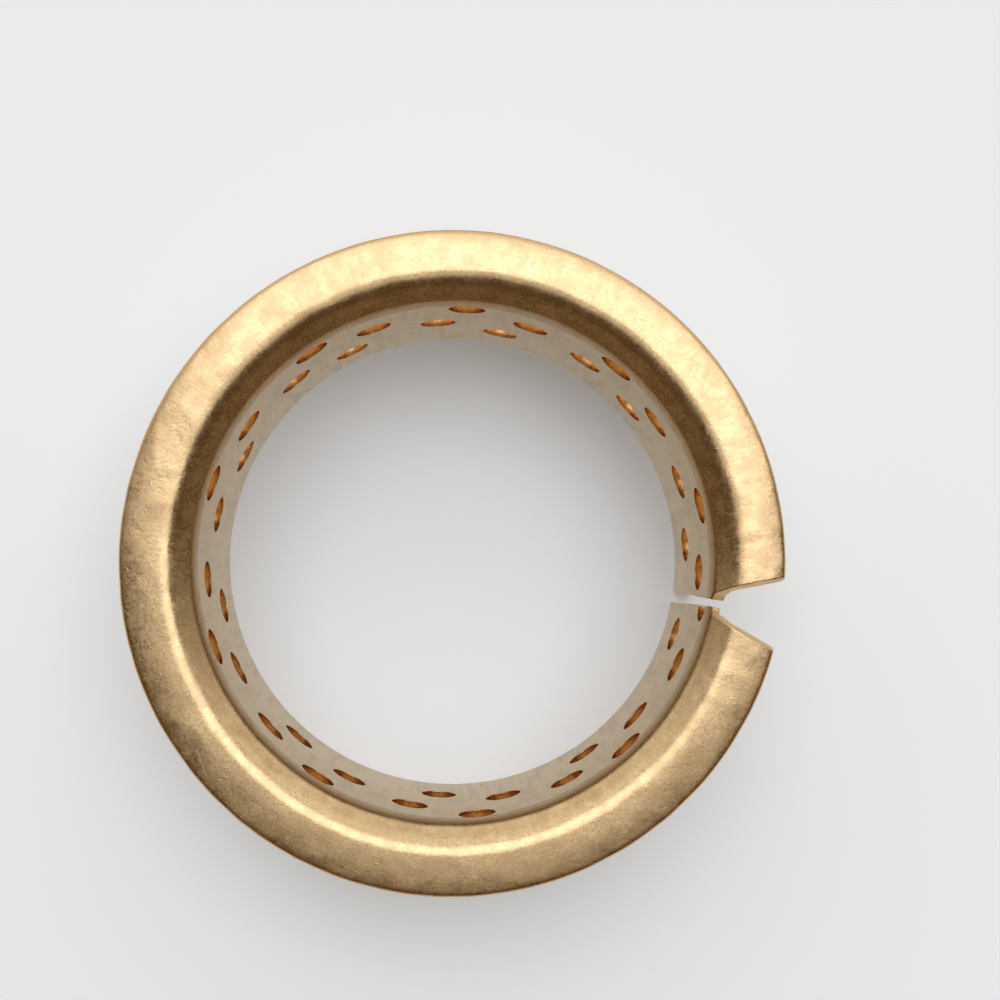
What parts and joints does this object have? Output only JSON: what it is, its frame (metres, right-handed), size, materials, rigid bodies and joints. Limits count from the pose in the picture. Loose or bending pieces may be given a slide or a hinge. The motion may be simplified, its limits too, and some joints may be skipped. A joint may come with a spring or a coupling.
{
  "type": "flanged bushing",
  "caption": "Wrapped bronze sleeve with a turned-out flange, an open butt seam with a V cut in the flange, and slanting rows of round lubrication holes.",
  "frame": {"origin": "on the bore axis, in the plane of the sleeve's lower end", "axes": "+Z along the bore axis, from the plain end towards the flange; the seam lies 9.65 degrees clockwise of +X, seen from above"},
  "size_m": [0.07, 0.07, 0.025],
  "materials": {
    "bronze": "satin rolled tin bronze, brighter on worn edges"
  },
  "bodies": {
    "root": {"flanged_bushing": "bronze"}
  },
  "joints": []
}
